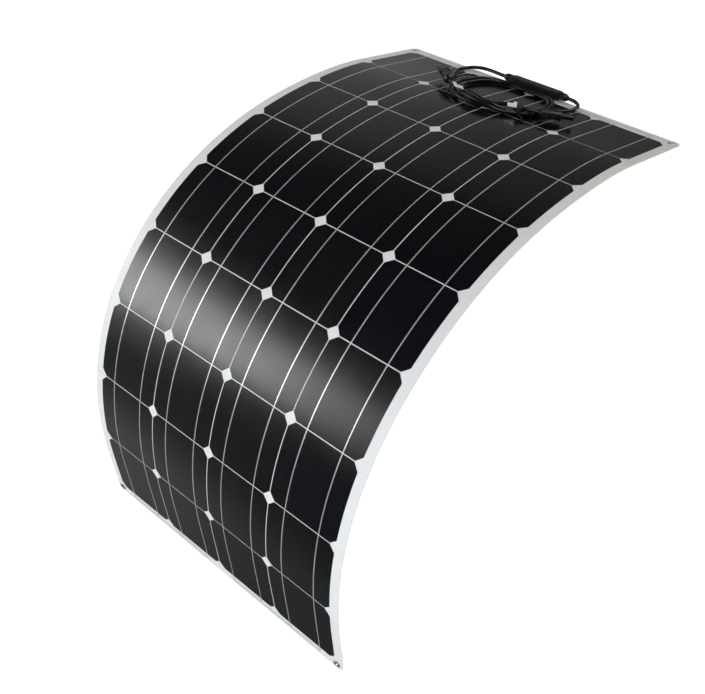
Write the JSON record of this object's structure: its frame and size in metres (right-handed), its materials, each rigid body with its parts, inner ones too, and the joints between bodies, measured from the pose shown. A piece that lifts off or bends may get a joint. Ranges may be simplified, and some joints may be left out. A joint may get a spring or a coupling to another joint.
{
  "type": "flexible solar sheet",
  "caption": "Thin bendable solar sheet with dark square cells, corner eyelets, a slim junction box and two plug-ended leads coiled on its top rows.",
  "frame": {"origin": "midway between the centres of the two top corner eyelets, on the sheet's rear face", "axes": "+X across the sheet, +Y out over the top edge, +Z out of the front face of the first row; the rest of the sheet runs towards -Y and bends down"},
  "size_m": [0.54, 0.7097, 0.7183],
  "materials": {
    "backsheet": "satin white polyester",
    "solar_cell": "dark mono silicon",
    "ribbon": "tinned copper",
    "front_film": "clear fluoropolymer",
    "eyelet": "pressed, satin",
    "foam_tape": "closed-cell foam",
    "box_plastic": "moulded black",
    "gland_plastic": "moulded black",
    "terminal": "tinned brass",
    "diode": "epoxy",
    "rubber_seal": "silicone",
    "cable_jacket": "black cross-linked jacket",
    "tie_nylon": "black nylon",
    "tag_paper": "white plastic film",
    "connector_plastic": "moulded black",
    "contact": "tin plated",
    "o_ring": "silicone"
  },
  "bodies": {
    "row_1": {"backsheet_row_1": "backsheet", "cells_row_1": "solar_cell", "ribbons_row_1": "ribbon", "front_film_row_1": "front_film", "eyelets_top": "eyelet", "adhesive_pad": "foam_tape", "junction_box_base": "box_plastic", "terminal_plates": "terminal", "bypass_diodes": "diode", "lid_gasket": "rubber_seal", "gland_seals": "rubber_seal", "cable_positive": "cable_jacket", "cable_negative": "cable_jacket", "cable_tie": "tie_nylon", "cable_tags": "tag_paper", "pin_connector_body": "connector_plastic", "pin_contact": "contact", "socket_connector_body": "connector_plastic", "socket_contact": "contact", "connector_o_ring": "o_ring"},
    "row_2": {"backsheet_row_2": "backsheet", "cells_row_2": "solar_cell", "ribbons_row_2": "ribbon", "front_film_row_2": "front_film"},
    "row_3": {"backsheet_row_3": "backsheet", "cells_row_3": "solar_cell", "ribbons_row_3": "ribbon", "front_film_row_3": "front_film"},
    "row_4": {"backsheet_row_4": "backsheet", "cells_row_4": "solar_cell", "ribbons_row_4": "ribbon", "front_film_row_4": "front_film"},
    "row_5": {"backsheet_row_5": "backsheet", "cells_row_5": "solar_cell", "ribbons_row_5": "ribbon", "front_film_row_5": "front_film"},
    "row_6": {"backsheet_row_6": "backsheet", "cells_row_6": "solar_cell", "ribbons_row_6": "ribbon", "front_film_row_6": "front_film"},
    "row_7": {"backsheet_row_7": "backsheet", "cells_row_7": "solar_cell", "ribbons_row_7": "ribbon", "front_film_row_7": "front_film"},
    "row_8": {"backsheet_row_8": "backsheet", "cells_row_8": "solar_cell", "ribbons_row_8": "ribbon", "front_film_row_8": "front_film"},
    "row_9": {"backsheet_row_9": "backsheet", "cells_row_9": "solar_cell", "ribbons_row_9": "ribbon", "front_film_row_9": "front_film", "eyelets_bottom": "eyelet"},
    "lid": {"junction_box_lid": "box_plastic"},
    "left_gland_nut": {"gland_nut_left": "gland_plastic"},
    "right_gland_nut": {"gland_nut_right": "gland_plastic"},
    "pin_nut": {"pin_connector_nut": "connector_plastic"},
    "socket_nut": {"socket_connector_nut": "connector_plastic"},
    "left_latch": {"latch_arm_left": "connector_plastic"},
    "right_latch": {"latch_arm_right": "connector_plastic"}
  },
  "joints": [
    {"name": "sheet_bend", "type": "hinge", "parent": "row_1", "child": "row_2", "pos_m": [0, -0.13925, 0.00125], "axis": [1, 0, 0], "range_deg": [-6, 0]},
    {"name": "row_3_bend", "type": "hinge", "parent": "row_2", "child": "row_3", "pos_m": [0, -0.26605, -0.01208], "axis": [1, 0, 0], "range_deg": [-9.02, 0]},
    {"name": "row_4_bend", "type": "hinge", "parent": "row_3", "child": "row_4", "pos_m": [0, -0.38921, -0.04508], "axis": [1, 0, 0], "range_deg": [-12.02, 0]},
    {"name": "row_5_bend", "type": "hinge", "parent": "row_4", "child": "row_5", "pos_m": [0, -0.50281, -0.10296], "axis": [1, 0, 0], "range_deg": [-15.02, 0]},
    {"name": "row_6_bend", "type": "hinge", "parent": "row_5", "child": "row_6", "pos_m": [0, -0.59756, -0.18827], "axis": [1, 0, 0], "range_deg": [-17.02, 0]},
    {"name": "row_7_bend", "type": "hinge", "parent": "row_6", "child": "row_7", "pos_m": [0, -0.66323, -0.29756], "axis": [1, 0, 0], "range_deg": [-19.02, 0]},
    {"name": "row_8_bend", "type": "hinge", "parent": "row_7", "child": "row_8", "pos_m": [0, -0.68974, -0.42228], "axis": [1, 0, 0], "range_deg": [-16.02, 0]},
    {"name": "row_9_bend", "type": "hinge", "parent": "row_8", "child": "row_9", "pos_m": [0, -0.68084, -0.54947], "axis": [1, 0, 0], "range_deg": [-10.02, 0]},
    {"name": "lid_lift", "type": "slide", "parent": "row_1", "child": "lid", "axis": [0, 0, 1], "range_m": [0, 0.012]},
    {"name": "left_gland_turn", "type": "hinge", "parent": "row_1", "child": "left_gland_nut", "pos_m": [-0.052, 0.009, 0.0097], "axis": [-1, 0, 0], "range_deg": [0, 270]},
    {"name": "right_gland_turn", "type": "hinge", "parent": "row_1", "child": "right_gland_nut", "pos_m": [0.046, 0.009, 0.0097], "axis": [1, 0, 0], "range_deg": [0, 270]},
    {"name": "pin_nut_turn", "type": "hinge", "parent": "row_1", "child": "pin_nut", "pos_m": [-0.086, -0.1285, 0.018], "axis": [0.7314, -0.682, 0], "range_deg": [0, 270]},
    {"name": "socket_nut_turn", "type": "hinge", "parent": "row_1", "child": "socket_nut", "pos_m": [0.078, -0.109, 0.0128], "axis": [-0.848, -0.5299, 0], "range_deg": [0, 270]},
    {"name": "left_latch_flex", "type": "hinge", "parent": "row_1", "child": "left_latch", "pos_m": [-0.11946, -0.10954, 0.018], "axis": [0, 0, -1], "range_deg": [0, 3.5], "stiffness_Nm_per_rad": 0.5},
    {"name": "right_latch_flex", "type": "hinge", "parent": "row_1", "child": "right_latch", "pos_m": [-0.10725, -0.09645, 0.018], "axis": [0, 0, 1], "range_deg": [0, 3.5], "stiffness_Nm_per_rad": 0.5}
  ],
  "couplings": [
    {"joint": "row_3_bend", "follows": "sheet_bend", "ratio": 1.5},
    {"joint": "row_4_bend", "follows": "sheet_bend", "ratio": 2},
    {"joint": "row_5_bend", "follows": "sheet_bend", "ratio": 2.5},
    {"joint": "row_6_bend", "follows": "sheet_bend", "ratio": 2.8333},
    {"joint": "row_7_bend", "follows": "sheet_bend", "ratio": 3.1667},
    {"joint": "row_8_bend", "follows": "sheet_bend", "ratio": 2.6667},
    {"joint": "row_9_bend", "follows": "sheet_bend", "ratio": 1.6667}
  ]
}
